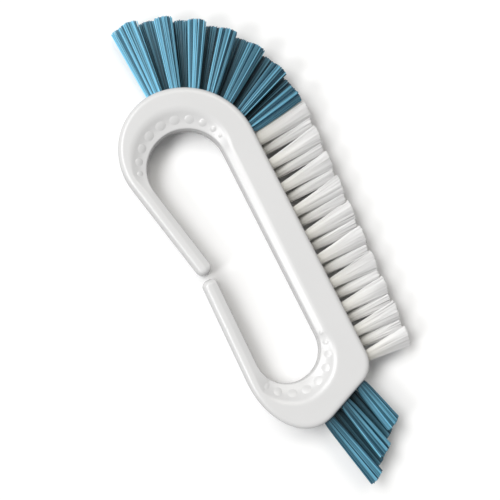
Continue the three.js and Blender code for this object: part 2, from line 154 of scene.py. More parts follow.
# Filaments: waves and weights of the strips of painted light and shade, and the share of a filament's own
# tone
STRIP_WAVES = ((7, 0.35), (13, 0.3), (23, 0.25))
OWN_TONE = 0.4

# White filaments: the heights, and the shares of their length, over which the painted shade at their roots
# ends
PAINTED_SHADE_HEIGHTS = (1.4, 4.0)
PAINTED_SHADE_SHARES = (0.35, 0.8)

# Steps of the surfaces, and the angle past which an edge is sharp
ARC_STEPS = 170
SPINE_STEPS = 30
ARM_STEPS = 30
TIP_STEPS = 14
TIP_FIRST_TURN = 6.0
RIM_STEPS = 240
BEVEL_SHARES = (0.25, 0.45, 0.62)
SLOT_EASE_POINTS = 6
CREST_POINTS = 9
RIM_EASE_POINTS = 11
DOT_SHARES = np.array([0.06, 0.3, 0.5, 0.68, 0.83, 0.93, 1.0])
DOT_SIDES = 28
HOLE_SIDES = 32
FILAMENT_SHARES = np.array([0, 0.05, 0.2, 0.55, 1.0])
SHARP_ANGLE = 38.0

# A section's corner without easing: no easing length, one point
SHARP = (0, 1)

# Slack against rounding: the least length of a vector, turn between two lines, and step along a line
LEAST_LENGTH = 1e-12
LEAST_TURN = 1e-9
LEAST_STEP = 1e-6


# Plane geometry

def directions(degrees):
    """Unit vectors at angles in degrees: cosine and sine on a new last axis."""
    turn = np.radians(degrees)
    return np.stack([np.cos(turn), np.sin(turn)], axis=-1)


def left_of(vectors):
    """Plane vectors turned a quarter turn to the left: -y and x."""
    return np.stack([-vectors[:, 1], vectors[:, 0]], axis=-1)


def mix(first, last, share):
    """The straight blend from first to last."""
    return first + (last - first) * share


def cross(a, b):
    """The turning sense of two plane vectors: ax by - ay bx."""
    return a[..., 0] * b[..., 1] - a[..., 1] * b[..., 0]


def unit(vectors):
    """Vectors scaled to length one."""
    return vectors / np.maximum(np.linalg.norm(vectors, axis=-1, keepdims=True), LEAST_LENGTH)


def arc(centre, radius, start, stop):
    """Points on a circle from one angle to another, evenly spaced."""
    return centre + radius * directions(np.linspace(start, stop, RIM_STEPS))


# The loop's plan: slot edge inside, rim outside
SLOT_EDGE = -SPINE_WIDTH / 2
RIM_EDGE = SPINE_WIDTH / 2
SLOT_TOP_Y = SLOT_MIDDLE_Y + SLOT_LENGTH / 2
SLOT_END_Y = SLOT_MIDDLE_Y - SLOT_LENGTH / 2
TOP_CENTRE = np.array([SLOT_EDGE - SLOT_TOP_RADIUS, SLOT_TOP_Y - SLOT_TOP_RADIUS])
END_CENTRE = np.array([SLOT_EDGE - SLOT_END_RADIUS, SLOT_END_Y + SLOT_END_RADIUS])
UPPER_ANGLE = 180 + UPPER_ARM_LEAN
LOWER_ANGLE = 180 - LOWER_ARM_LEAN
UPPER_NORMAL = directions(UPPER_ANGLE)
LOWER_NORMAL = directions(LOWER_ANGLE)
TO_UPPER_TIP = directions(UPPER_ANGLE + 90)
TO_LOWER_TIP = directions(LOWER_ANGLE - 90)
UPPER_ROOT = TOP_CENTRE + SLOT_TOP_RADIUS * UPPER_NORMAL
LOWER_ROOT = END_CENTRE + SLOT_END_RADIUS * LOWER_NORMAL

# The arches' angles: the top one's from the upper arm to the spine, the end one's on to the lower arm
TOP_ARCH = (UPPER_ANGLE, 0)
END_ARCH = (0, LOWER_ANGLE - 360)

# The upper arm's round tip stops the mouth's gap short of the lower arm's tip
UPPER_TIP_ROUND = UPPER_ARM_WIDTH / 2
LOWER_TIP = LOWER_ROOT + LOWER_ARM_LENGTH * TO_LOWER_TIP
LOWER_TIP_Y = (LOWER_TIP + LOWER_ARM_TIP_WIDTH / 2 * LOWER_NORMAL)[1]
UPPER_TIP_Y = LOWER_TIP_Y + MOUTH_GAP + UPPER_TIP_ROUND
UPPER_MIDDLE_Y = (UPPER_ROOT + UPPER_TIP_ROUND * UPPER_NORMAL)[1]
UPPER_ARM_LENGTH = (UPPER_TIP_Y - UPPER_MIDDLE_Y) / TO_UPPER_TIP[1] + UPPER_TIP_ROUND

# The rim's crown has two arcs: one rising from the spine, and a smaller one that meets the upper arm
CROWN_RADIUS = SLOT_TOP_RADIUS + SPINE_WIDTH
CROWN_CENTRE = TOP_CENTRE + [0, CROWN_RISE]
BLEND = directions(CROWN_BLEND_ANGLE)
CROWN_SHIFT = CROWN_CENTRE - TOP_CENTRE + CROWN_RADIUS * BLEND
ARM_REACH = SLOT_TOP_RADIUS + UPPER_ARM_WIDTH
SHOULDER_RADIUS = (ARM_REACH - CROWN_SHIFT @ UPPER_NORMAL) / (1 - BLEND @ UPPER_NORMAL)
SHOULDER_CENTRE = CROWN_CENTRE + (CROWN_RADIUS - SHOULDER_RADIUS) * BLEND

# The sloping end, its corner with the spine, and the heel curve up to the lower arm
END_ANGLE = END_SLOPE - 90
END_NORMAL = directions(END_ANGLE)
ALONG_END = directions(END_SLOPE)
END_FOOT = END_CENTRE + (SLOT_END_RADIUS + END_WALL) * END_NORMAL
CORNER_POINT = END_FOOT + (RIM_EDGE - END_FOOT[0]) / ALONG_END[0] * ALONG_END
CORNER_REACH = CORNER_RADIUS * math.tan(math.radians((90 - END_SLOPE) / 2))
CORNER_CENTRE = np.array([RIM_EDGE - CORNER_RADIUS, CORNER_POINT[1] + CORNER_REACH])
HEEL_END = END_FOOT - HEEL_REACH * ALONG_END
LOWER_ROOT_OUTER = LOWER_ROOT + LOWER_ARM_ROOT_WIDTH * LOWER_NORMAL
LOWER_TIP_OUTER = LOWER_TIP + LOWER_ARM_TIP_WIDTH * LOWER_NORMAL
UP_LOWER_ARM = unit(LOWER_TIP_OUTER - LOWER_ROOT_OUTER)
HEEL_START_POINT = LOWER_ROOT_OUTER - HEEL_START * UP_LOWER_ARM


def rim_outline():
    """The rim from the upper arm's tip to the lower arm's tip: lines, three arcs and one cubic curve,
    whose points weigh its four controls by products of the powers of t and 1 - t."""
    t = np.linspace(0, 1, RIM_STEPS)[:, None]
    pull_end = HEEL_END - HEEL_PULL_END * ALONG_END
    pull_arm = HEEL_START_POINT - HEEL_PULL_ARM * UP_LOWER_ARM
    heel = ((1 - t) ** 3 * HEEL_END + 3 * t * (1 - t) ** 2 * pull_end
            + 3 * t ** 2 * (1 - t) * pull_arm + t ** 3 * HEEL_START_POINT)
    tip = UPPER_ROOT + UPPER_ARM_WIDTH * UPPER_NORMAL + UPPER_ARM_LENGTH * TO_UPPER_TIP
    return np.concatenate([
        tip[None],
        arc(SHOULDER_CENTRE, SHOULDER_RADIUS, UPPER_ANGLE, CROWN_BLEND_ANGLE),
        arc(CROWN_CENTRE, CROWN_RADIUS, CROWN_BLEND_ANGLE, 0),
        arc(CORNER_CENTRE, CORNER_RADIUS, 0, END_ANGLE),
        heel,
        LOWER_TIP_OUTER[None],
    ])


RIM = rim_outline()
RIM_LENGTHS = np.concatenate([[0], np.cumsum(np.linalg.norm(np.diff(RIM, axis=0), axis=1))])


def rim_reach(points, normals):
    """How far rays from the points along the normals run before they first cross the rim: the crossing of
    each ray with each rim edge, kept where it lies on the edge and ahead of the point."""
    edge = np.diff(RIM, axis=0)[None]
    gap = RIM[None, :-1] - points[:, None]
    facing = cross(normals[:, None], edge)
    facing = np.where(np.abs(facing) < LEAST_TURN, LEAST_TURN, facing)
    reach = cross(gap, edge) / facing
    share = cross(gap, normals[:, None]) / facing
    hit = (share > -LEAST_STEP) & (share < 1 + LEAST_STEP) & (reach > LEAST_STEP)
    return np.where(hit, reach, np.inf).min(axis=1)


def rim_point(distance):
    """Points at given distances along the rim."""
    return np.stack([np.interp(distance, RIM_LENGTHS, RIM[:, axis]) for axis in (0, 1)], axis=-1)


# Meshes

def closed_tubes(name, rings):
    """A mesh of closed tubes. Rings has the axes tube, ring, point and x-y-z in millimetres: quads join
    each ring to the next, and one face closes each end."""
    tubes, count, sides, _ = rings.shape
    number = np.arange(tubes * count * sides).reshape(tubes, count, sides)
    after = np.roll(number, -1, axis=2)
    quads = np.stack([number[:, :-1], after[:, :-1], after[:, 1:], number[:, 1:]], axis=-1).reshape(-1, 4)
    caps = np.concatenate([number[:, 0, ::-1], number[:, -1]])
    corners = np.concatenate([quads.ravel(), caps.ravel()])
    starts = np.concatenate([np.arange(len(quads)) * 4, quads.size + np.arange(len(caps)) * sides])
    mesh = bpy.data.meshes.new(name)
    mesh.vertices.add(number.size)
    mesh.vertices.foreach_set("co", (rings * METRES).ravel())
    mesh.loops.add(len(corners))
    mesh.loops.foreach_set("vertex_index", corners)
    mesh.polygons.add(len(starts))
    mesh.polygons.foreach_set("loop_start", starts)
    mesh.update(calc_edges=True)
    mesh.shade_smooth()
    made = bpy.data.objects.new(name, mesh)
    bpy.context.scene.collection.objects.link(made)
    return made


def carve(piece, operands):
    """Joins or cuts other shells into a piece, keeps the result as its mesh and removes the shells."""
    for operation, shell in operands:
        step = piece.modifiers.new(shell.name, "BOOLEAN")
        step.operation = operation
        step.solver = "MANIFOLD"
        step.object = shell
    bpy.context.view_layer.update()
    shape = piece.evaluated_get(bpy.context.evaluated_depsgraph_get())
    result = bpy.data.meshes.new_from_object(shape)
    piece.modifiers.clear()
    piece.data = result
    for _, shell in operands:
        bpy.data.objects.remove(shell)


def lathe(along, across, sides):
    """Rings of a turned shape about +X: a circle of radius across at each place along."""
    turn = np.linspace(0, 2 * np.pi, sides, endpoint=False)
    along, across = np.asarray(along, float), np.asarray(across, float)
    ring = np.stack([np.zeros(sides), np.cos(turn), np.sin(turn)], axis=-1)
    return along[:, None, None] * [1, 0, 0] + across[:, None, None] * ring


def keep(piece, label, values, kind="FLOAT", field="value"):
    """Keeps a number or a vector for each point of a piece, as an attribute that its shader reads."""
    layer = piece.data.attributes.new(label, kind, "POINT")
    layer.data.foreach_set(field, values.ravel().astype(np.float32))


# Handle

def arm_stations(root, direction, normal, length, rounding):
    """Stations of an arm from its tip to its root: crowded round the tip as rounding (1 - cos turn)."""
    turn = np.radians(np.linspace(TIP_FIRST_TURN, 90, TIP_STEPS))
    round_tip = rounding * (1 - np.cos(turn))
    from_tip = np.concatenate([round_tip, np.linspace(rounding, length, ARM_STEPS)[1:-1]])
    edge = root + (length - from_tip)[:, None] * direction
    flat = np.zeros(len(from_tip))
    return edge, np.tile(normal, (len(from_tip), 1)), flat, from_tip, flat + rounding


def arch_stations(centre, radius, start, stop):
    """Stations round an arch: the slot's circle, with the dish deepening as sin(pi t) from end to end."""
    share = np.linspace(0, 1, ARC_STEPS)
    normal = directions(mix(start, stop, share))
    far = np.full(ARC_STEPS, np.inf)
    return centre + radius * normal, normal, np.sin(np.pi * share), far, np.ones(ARC_STEPS)


def spine_stations():
    """Stations down the straight slot edge between the arches."""
    y = np.linspace(TOP_CENTRE[1], END_CENTRE[1], SPINE_STEPS + 2)[1:-1]
    edge = np.stack([np.full(SPINE_STEPS, SLOT_EDGE), y], axis=-1)
    flat = np.zeros(SPINE_STEPS)
    return edge, np.tile([1.0, 0.0], (SPINE_STEPS, 1)), flat, flat + np.inf, flat + 1


def loop_stations():
    """Every section's place in order: slot edge, outward normal, dish, distance from the tip, rounding."""
    upper = arm_stations(UPPER_ROOT, TO_UPPER_TIP, UPPER_NORMAL, UPPER_ARM_LENGTH, UPPER_TIP_ROUND)
    lower = arm_stations(LOWER_ROOT, TO_LOWER_TIP, LOWER_NORMAL, LOWER_ARM_LENGTH, LOWER_TIP_ROUND)
    runs = [
        upper,
        arch_stations(TOP_CENTRE, SLOT_TOP_RADIUS, *TOP_ARCH),
        spine_stations(),
        arch_stations(END_CENTRE, SLOT_END_RADIUS, *END_ARCH),
        [column[::-1] for column in lower],
    ]
    return [np.concatenate(column) for column in zip(*runs)]


def drawn_in(radius, from_tip):
    """How far a rounded end has drawn in: radius less the half chord of its circle."""
    depth = np.clip(radius - from_tip, 0, radius)
    return radius - np.sqrt(radius ** 2 - depth ** 2)


def eased(corners):
    """Closed rings through corners of (across, height, easing, points): each corner becomes a quadratic
    curve that leaves one side and joins the next at the easing length."""
    place = np.stack([np.stack([across, height], axis=-1) for across, height, _, _ in corners], axis=1)
    before = unit(np.roll(place, 1, axis=1) - place)
    after = unit(np.roll(place, -1, axis=1) - place)
    runs = []
    for i, (_, _, easing, points) in enumerate(corners):
        t = np.linspace(0, 1, points)[None, :, None]
        reach = (np.zeros(len(place)) + easing)[:, None, None]
        pull = (1 - t) ** 2 * before[:, None, i] + t ** 2 * after[:, None, i]
        runs.append(place[:, None, i] + reach * pull)
    return np.concatenate(runs, axis=1)


def section_rings(width, scale, dish, low, high):
    """The loop's sections: a wall at the slot with a fine mould seam, a bevel that climbs to a crest
    (straight along the spine, scooped as a power curve in the dishes), a flat face, an eased rim, and the
    same below. Where the loop is too narrow for the whole bevel, the bevel's depth falls as the square of
    the share of its width that is left."""
    fillet = RIM_EASE * scale
    wanted = mix(BEVEL_WIDTH, DISH_WIDTH, dish) * scale
    bevel = np.minimum(wanted, width - fillet - LEAST_FLAT * scale)
    depth = mix(BEVEL_DEPTH, DISH_DEPTH, dish) * scale * (bevel / wanted) ** 2
    scoop = 1 + DISH_SCOOP * dish
    flat = width - fillet - bevel
    crest = np.minimum(np.minimum(CREST_EASE, CREST_OF_BEVEL * bevel), CREST_OF_FLAT * flat)
    support = np.minimum(SUPPORT, SUPPORT_OF_FLAT * (flat - crest))
    slot_ease = np.minimum(SLOT_EASE * scale, SLOT_EASE_OF_BEVEL * bevel)
    middle = (low + high) / 2
    seam_edge = middle + SEAM_WIDTH / 2 * scale
    none = np.zeros_like(width)
    upper = [
        (none, seam_edge, *SHARP),
        (none, high - depth, slot_ease, SLOT_EASE_POINTS),
        *[(share * bevel, high - depth + depth * share ** scoop, *SHARP) for share in BEVEL_SHARES],
        (bevel, high, crest, CREST_POINTS),
        (bevel + crest + support, high, *SHARP),
        (width - fillet - support, high, *SHARP),
        (width, high, fillet, RIM_EASE_POINTS),
        (width, high - fillet - support, *SHARP),
        (width, seam_edge, *SHARP),
    ]
    lower = [(across, low + high - height, *easing) for across, height, *easing in upper[::-1]]
    slot_seam = (none - SEAM_HEIGHT * scale, middle, *SHARP)
    rim_seam = (width + SEAM_HEIGHT * scale, middle, *SHARP)
    return eased([slot_seam, *upper, rim_seam, *lower])


def loop_rings():
    """The loop as one tube of sections carried round the slot, each laid from the slot edge to the rim."""
    edge, normal, dish, from_tip, rounding = loop_stations()
    full = rim_reach(edge, normal)
    inset = drawn_in(rounding, from_tip)
    drop = drawn_in(RIM_FILLET, from_tip)
    width = full - 2 * inset
    section = section_rings(width, width / full, dish, drop, THICKNESS - drop)
    across = inset[:, None] + section[..., 0]
    plan = edge[:, None] + across[..., None] * normal[:, None]
    return np.concatenate([plan, section[..., 1:]], axis=-1)[None]


def dot_row(centre, slot_radius, start, stop, rise):
    """One dish's row of dots, which shrink as the square of their number from the middle: each dot's
    place, outward normal, radius, rise, and the height and slope of the dish there."""
    radius = DOT_RADIUS * (1 - (np.arange(DOTS_EACH_WAY + 1) / DOT_FADE) ** 2)
    turn = np.zeros(DOTS_EACH_WAY + 1)
    span = math.radians(abs(stop - start))
    for i in range(DOTS_EACH_WAY):
        bevel = mix(BEVEL_WIDTH, DISH_WIDTH, math.cos(math.pi * turn[i] / span))
        row = slot_radius + DOT_PLACE * bevel
        turn[i + 1] = turn[i] + (radius[i] + radius[i + 1] + DOT_GAP) / row
    turn = np.concatenate([-turn[:0:-1], turn])
    radius = np.concatenate([radius[:0:-1], radius])
    dish = np.cos(np.pi * turn / span)
    bevel = mix(BEVEL_WIDTH, DISH_WIDTH, dish)
    normal = directions((start + stop) / 2 + np.degrees(turn))
    plan = centre + (slot_radius + DOT_PLACE * bevel)[:, None] * normal
    scoop = 1 + DISH_SCOOP * dish
    depth = mix(BEVEL_DEPTH, DISH_DEPTH, dish)
    slope = np.arctan(scoop * depth / bevel * DOT_PLACE ** (scoop - 1))
    height = THICKNESS - depth * (1 - DOT_PLACE ** scoop)
    return plan, normal, radius, rise * np.sqrt(radius / DOT_RADIUS), height, slope


def dot_rings():
    """Grip dots: low domes that fall away as (1 - r r) to a power from the middle, standing square to the
    dish's slope, on the upper face and mirrored through the middle of the thickness on the lower one."""
    rows = zip(dot_row(TOP_CENTRE, SLOT_TOP_RADIUS, *TOP_ARCH, DOT_HEIGHT),
               dot_row(END_CENTRE, SLOT_END_RADIUS, *END_ARCH, HEEL_DOT_HEIGHT))
    plan, normal, radius, rise, height, slope = [np.concatenate(pair) for pair in rows]
    rings = lathe(np.zeros(len(DOT_SHARES)), DOT_SHARES, DOT_SIDES)
    flat = radius[:, None, None] * rings[None, :, :, 1]
    side = radius[:, None, None] * rings[None, :, :, 2]
    dome = (1 - DOT_SHARES ** 2) ** DOT_DOME_POWER
    lift = np.broadcast_to((rise[:, None] * dome)[..., None], flat.shape)
    foot = np.full((len(radius), 1, DOT_SIDES), -DOT_FOOT)
    flat = np.concatenate([flat, flat[:, -1:]], axis=1)
    side = np.concatenate([side, side[:, -1:]], axis=1)
    lift = np.concatenate([lift, foot], axis=1)
    cosine, sine = np.cos(slope)[:, None, None], np.sin(slope)[:, None, None]
    outward = flat * cosine - lift * sine
    upward = flat * sine + lift * cosine
    place = plan[:, None, None] + outward[..., None] * normal[:, None, None]
    place = place + side[..., None] * left_of(normal)[:, None, None]
    z = (height[:, None, None] + upward)[..., None]
    upper = np.concatenate([place, z], axis=-1)
    lower = np.concatenate([place, THICKNESS - z], axis=-1)
    return np.concatenate([upper[:, ::-1], lower[:, :, ::-1]])


# Tufts

class Tufts(NamedTuple):
    """A field's tufts in order: where each leaves the rim, its bearing, its row and its free length."""
    base: np.ndarray
    degrees: np.ndarray
    lower: np.ndarray
    length: np.ndarray


def fan_tufts():
    """Tufts that radiate from a focus inside the top arch: an upper row at an even pitch, and a lower one
    the stagger before it, its first tuft less."""
    order = np.arange(2 * FAN_COUNT)
    lower = order % 2 == 0
    ahead = np.where(order == 0, FAN_LEAD, np.where(lower, FAN_STAGGER, 0))
    degrees = mix(FAN_FIRST_ANGLE, FAN_LAST_ANGLE, order // 2 / (FAN_COUNT - 1)) + ahead
    share = (FAN_FIRST_ANGLE - degrees) / (FAN_FIRST_ANGLE - FAN_LAST_ANGLE)
    focus = TOP_CENTRE + [FAN_FOCUS_RIGHT, -FAN_FOCUS_DROP]
    axis = directions(degrees)
    base = focus + rim_reach(np.tile(focus, (len(axis), 1)), axis)[:, None] * axis
    return Tufts(base, degrees, lower, mix(FAN_FIRST_LENGTH, FAN_LAST_LENGTH, share))


def side_tufts():
    """Tufts along the spine: an upper row at an even pitch, and a lower one the stagger beyond it, at a
    slightly longer pitch and cut a little shorter."""
    first = CROWN_CENTRE[1] - SIDE_FIRST_INSET
    last = CORNER_CENTRE[1] + SIDE_LAST_INSET
    pitch = (first - last) / (SIDE_COUNT - 1)
    order = np.arange(2 * SIDE_COUNT - 1)
    lower = order % 2 == 1
    distance = order // 2 * pitch + np.where(lower, SIDE_STAGGER + order // 2 * SIDE_CREEP, 0)
    share = distance / (first - last)
    start = np.stack([np.zeros(len(order)), first - distance], axis=-1)
    base = start + rim_reach(start, np.tile([1.0, 0.0], (len(order), 1)))[:, None] * [1, 0]
    degrees = mix(SIDE_FIRST_TILT, SIDE_LAST_TILT, share)
    length = mix(SIDE_FIRST_LENGTH, SIDE_LAST_LENGTH, share) - np.where(lower, SIDE_TRIM, 0)
    return Tufts(base, degrees, lower, length)


def end_tufts():
    """Tufts on the sloping end, side by side along the rim past the corner, all leaning alike."""
    corner_end = CORNER_CENTRE + CORNER_RADIUS * END_NORMAL
    start = RIM_LENGTHS[np.argmin(np.linalg.norm(RIM - corner_end, axis=1))]
    order = np.arange(2 * END_COUNT - 1)
    base = rim_point(start + END_FIRST_INSET + order / 2 * END_PITCH)
    share = order / (len(order) - 1)
    degrees = np.full(len(order), END_ANGLE - END_LEAN)
    return Tufts(base, degrees, order % 2 == 1, mix(END_FIRST_LENGTH, END_LAST_LENGTH, share))


def row_height(lower):
    """The height of each tuft's axis: half the row spacing below or above the middle."""
    return THICKNESS / 2 + np.where(lower, -0.5, 0.5) * ROW_SPACING


def on_tufts(local, tufts):
    """Puts shapes made along +X from the hole's mouth on the tufts' axes: x along, y across, z up."""
    axis = directions(tufts.degrees)
    grow = (len(axis),) + (1,) * (local.ndim - 2)
    base, along, across = [vectors.reshape(grow + (2,)) for vectors in (tufts.base, axis, left_of(axis))]
    plan = base + local[..., :1] * along + local[..., 1:2] * across
    height = row_height(tufts.lower).reshape(grow + (1,)) + local[..., 2:]
    return np.concatenate([plan, height], axis=-1)


def hole_rings(tufts):
    """The blind holes' cutters: a round bore from its bottom to past the rim, flared at its mouth."""
    bore = HOLE_DIAMETER / 2
    along = [-HOLE_DEPTH, -HOLE_EASE, 0, HOLE_FLARE_LENGTH, HOLE_DIAMETER]
    across = [bore, bore, bore + HOLE_LIP, bore + HOLE_FLARE, bore + HOLE_FLARE]
    rings = np.tile(lathe(along, across, HOLE_SIDES), (len(tufts.base), 1, 1, 1))
    return on_tufts(rings, tufts)


# Filaments

class Nylon(NamedTuple):
    """How a field's filaments are made and set."""
    seed: int
    count: int                 # filaments in a tuft
    sides: int                 # sides of a filament
    thick: tuple               # a filament's radius at its root and at its tip
    spread: tuple              # a tuft's half widths at its tips, across and up
    swell: float               # the power of the distance along as which a tuft widens
    closing: float = 0.0       # how far each row draws towards the other
    slant: float = 0.0         # how much longer the cut leaves a tuft's left edge than its middle
    bulge: tuple = (0.0, 0.0)  # how far the first and the last tuft bulge on their free sides
    dim: float = 0.0           # how much painted shade darkens the roots
    fade: float = 0.0          # painted light: how much lighter the first tuft is painted than the last
    rounded: float = 0.6       # how far the facing leans to a tuft's sides


FAN_NYLON = Nylon(seed=11, count=96, sides=5, thick=(0.145, 0.16), spread=(3.0, 2.8), swell=0.9,
                  bulge=(0.0, 0.6), fade=0.46)
END_NYLON = Nylon(seed=12, count=96, sides=5, thick=(0.145, 0.16), spread=(2.8, 2.6), swell=0.5,
                  slant=-0.6, dim=0.9)
SIDE_NYLON = Nylon(seed=13, count=200, sides=4, thick=(0.115, 0.2), spread=(3.3, 2.8), swell=1.25,
                   closing=1.7, slant=0.5, bulge=(1.0, 0.0), rounded=0.4)


def tuft_discs(tufts, nylon, random):
    """Where the filaments stand in their tufts, on a disc of radius one: each the golden angle on from
    the one before, at the root of its share of the disc, from a random start in each tuft."""
    index = np.arange(nylon.count)
    turn = index * GOLDEN_ANGLE + random.uniform(0, 2 * np.pi, (len(tufts.base), 1))
    radius = np.sqrt((index + 0.5) / nylon.count)
    return radius[:, None] * np.stack([np.cos(turn), np.sin(turn)], axis=-1)


def free_lengths(tufts, nylon, disc, random):
    """How long each filament is beyond the rim: the tuft's length, less a crown that grows as the square
    of the distance from its middle, with a random scatter and a cut that slants across it."""
    crown = TIP_CROWN * (disc ** 2).sum(axis=-1)
    scatter = random.normal(0, TIP_SCATTER, disc.shape[:2])
    return tufts.length[:, None] - crown + scatter + nylon.slant * disc[..., 0]


def filament_places(tufts, nylon, disc, share, random):
    """Where the filaments are across and up, first at their roots and then at shares of their free
    lengths. At the mouth a tuft is as wide as the hole, and it widens to an oval at the tips as a power
    of the share. The two rows close on each other as another power. A filament bends as half a sine and
    strays as the square of the share. The first and last tufts bulge out on their free sides, most of
    all near the rim. In the hole each filament keeps to its own side of the anchor."""
    bend = random.normal(0, FILAMENT_BEND, disc.shape)[:, :, None]
    stray = random.normal(0, FILAMENT_STRAY, disc.shape)[:, :, None]
    run = share[:, None]
    mouth = HOLE_DIAMETER / 2 - nylon.thick[0] - MOUTH_SLACK
    width = mix(mouth, np.array(nylon.spread) - nylon.thick[1], run ** nylon.swell)
    place = disc[:, :, None] * width + stray * run ** 2 + bend * np.sin(np.pi * run)
    towards = np.where(tufts.lower, nylon.closing, -nylon.closing)[:, None] * share ** CLOSING_POWER
    place[..., 1] += towards[:, None]
    free_side = np.zeros(disc.shape[:2])
    free_side[0] = nylon.bulge[0] * np.maximum(disc[0, :, 0], 0)
    free_side[-1] = nylon.bulge[1] * np.minimum(disc[-1, :, 0], 0)
    place[..., 0] += free_side[..., None] * BULGE_GAIN * (1 - share) * share ** BULGE_POWER
    beside_anchor = ANCHOR_THICKNESS / 2 + nylon.thick[0]
    root = np.sign(disc) * np.maximum(np.abs(disc) * mouth, [beside_anchor, 0])
    return np.concatenate([root[:, :, None], place], axis=2)


def filament_rings(tufts, nylon, disc, free, random):
    """The filaments' tubes along +X from the mouths of their holes: a few rings from the root to the tip,
    each a small circle round the filament's place, and a last one drawn in to round the tip."""
    share = np.append(FILAMENT_SHARES, 1.0)
    place = filament_places(tufts, nylon, disc, share, random)
    root = np.full(free.shape + (1,), -ROOT_DEPTH)
    tip = (free + TIP_ROUND * nylon.thick[1])[..., None]
    along = np.concatenate([root, free[..., None] * FILAMENT_SHARES, tip], axis=-1)
    start = random.uniform(0, 2 * np.pi, free.shape)
    spin = np.arange(nylon.sides) * 2 * np.pi / nylon.sides + start[..., None]
    circle = np.stack([np.cos(spin), np.sin(spin)], axis=-1)
    girth = mix(nylon.thick[0], nylon.thick[1], np.append(0, share))
    girth[-1] *= TIP_TAPER
    ring = place[..., None, :] + girth[:, None, None] * circle[:, :, None]
    along = np.broadcast_to(along[..., None, None], ring.shape[:-1] + (1,))
    return np.concatenate([along, ring], axis=-1)


def strips(across, random):
    """Painted light and shade in strips side by side over a tuft, standing in for the streaks that light
    makes
    between filaments: a half plus three waves of the place across, each with its own start in each tuft."""
    starts = random.uniform(0, 2 * np.pi, (len(STRIP_WAVES), len(across), 1))
    waves = [weight * np.cos(wave * across + start) for (wave, weight), start in zip(STRIP_WAVES, starts)]
    return 0.5 + sum(waves)


def filament_tones(tufts, nylon, disc, random):
    """Each filament's tone from zero to one: its strip's painted light and shade, mixed with its own, and
    falling along the field as painted light that leaves the first tufts lighter.
    """
    strip = strips(disc[..., 0], random)
    own = random.uniform(0, 1, disc.shape[:2])
    order = np.linspace(0, 1, len(tufts.base))[:, None]
    # The first tufts are painted lighter and the last darker, as painted light.
    return np.clip(mix(strip, own, OWN_TONE) + nylon.fade * (0.5 - order), 0, 1)


def tuft_facings(tufts, nylon, disc, rings):
    """The way a tuft faces at each ring of its filaments: up on its upper half and down on its lower one,
    leaning sideways with the place across, and straight out at the tips."""
    sideways = nylon.rounded * disc[..., :1] * directions(tufts.degrees + 90)[:, None]
    facing = unit(np.concatenate([sideways, np.where(disc[..., 1:] < 0, -1, 1)], axis=-1))
    facing = np.repeat(facing[:, :, None], rings, axis=2)
    facing[:, :, -1, :2] = directions(tufts.degrees)[:, None]
    facing[:, :, -1, 2] = 0
    return facing


def filaments(name, tufts, nylon):
    """A field's filaments, one thin tube each. Their points keep the share of the free length reached,
    the filament's tone, its painted shade, which falls as the square of what is left to the tip, whether
    its tuft is in the lower row behind another, which is painted darker as shade, and the way the tuft
    faces."""
    random = np.random.default_rng(nylon.seed)
    disc = tuft_discs(tufts, nylon, random)
    free = free_lengths(tufts, nylon, disc, random)
    local = filament_rings(tufts, nylon, disc, free, random)
    tone = filament_tones(tufts, nylon, disc, random)
    rings = on_tufts(local, tufts)
    made = closed_tubes(name, rings.reshape((-1,) + rings.shape[2:]))
    reach = np.clip(local[..., 0] / free[..., None, None], 0, 1)
    # Lower-row tufts behind another, which the blue shader paints darker as painted shade.
    under = tufts.lower & (np.arange(len(tufts.lower)) > 0)
    facing = tuft_facings(tufts, nylon, disc, reach.shape[2])
    keep(made, "reach", reach)
    keep(made, "tone", tone[..., None, None] + 0 * reach)
    # Painted shade at the roots, as strong as the nylon's dim.
    keep(made, "shade", nylon.dim * (1 - reach) ** 2)
    keep(made, "under", under[:, None, None, None] + 0 * reach)
    keep(made, "facing", np.repeat(facing[:, :, :, None], nylon.sides, axis=3), "FLOAT_VECTOR", "vector")
    return made


# Shaders

class Value:
    """A shader socket that takes part in arithmetic: each operator adds one Math node."""

    def __init__(self, graph, socket):
        self.graph = graph
        self.socket = socket

    def _math(self, operation, first, second):
        return self.graph.node("ShaderNodeMath", {"operation": operation}, {0: first, 1: second})

    def __add__(self, other):
        return self._math("ADD", self, other)

    def __radd__(self, other):
        return self._math("ADD", other, self)

    def __sub__(self, other):
        return self._math("SUBTRACT", self, other)

    def __rsub__(self, other):
        return self._math("SUBTRACT", other, self)

    def __mul__(self, other):
        return self._math("MULTIPLY", self, other)

    def __rmul__(self, other):
        return self._math("MULTIPLY", other, self)

    def __pow__(self, other):
        return self._math("POWER", self, other)


